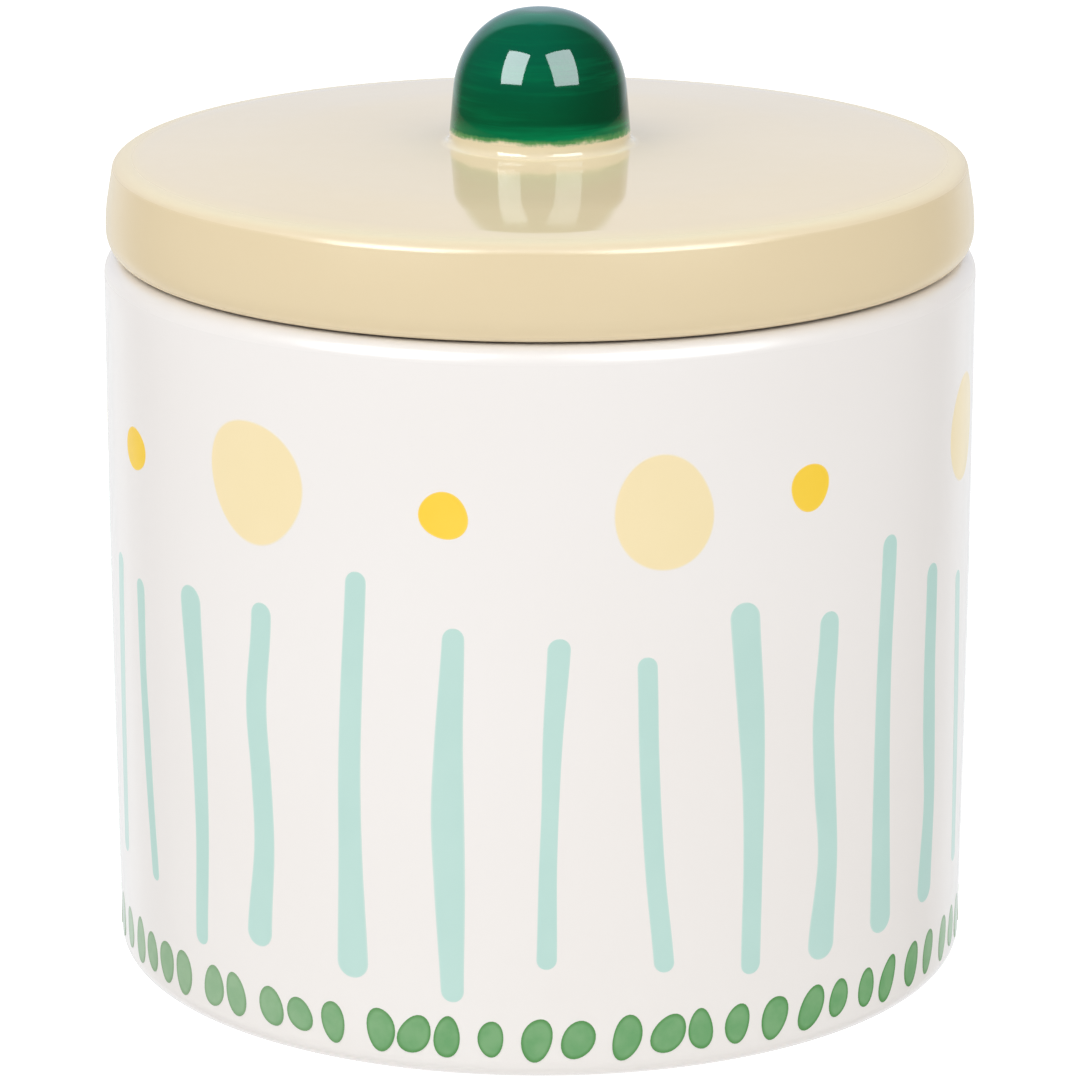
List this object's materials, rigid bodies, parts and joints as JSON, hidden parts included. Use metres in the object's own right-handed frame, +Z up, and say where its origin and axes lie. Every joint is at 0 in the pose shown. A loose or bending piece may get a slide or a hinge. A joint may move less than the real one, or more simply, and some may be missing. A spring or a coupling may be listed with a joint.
{
  "type": "lidded storage jar",
  "caption": "Round glazed ceramic box with a thick lift-off lid, a domed knob to lift it by, and a soft seal on the flange that drops into its mouth.",
  "frame": {"origin": "centre of the jar's foot, on the surface it stands on", "axes": "+Z up the middle of the jar, towards the knob; -Y towards the side that the picture shows"},
  "size_m": [0.15, 0.15, 0.1664],
  "materials": {
    "jar_glaze": "glossy clear glaze over white slip",
    "lid_glaze": "glossy beige glaze",
    "knob_glaze": "glossy dark green glaze",
    "seal_silicone": "soft translucent silicone"
  },
  "bodies": {
    "jar_body": {"jar": "jar_glaze"},
    "lid_body": {"lid": "lid_glaze", "knob": "knob_glaze", "seal_ring": "seal_silicone"}
  },
  "joints": [
    {"name": "lid_lift", "type": "slide", "parent": "jar_body", "child": "lid_body", "axis": [0, 0, 1], "range_m": [0, 0.12]}
  ]
}
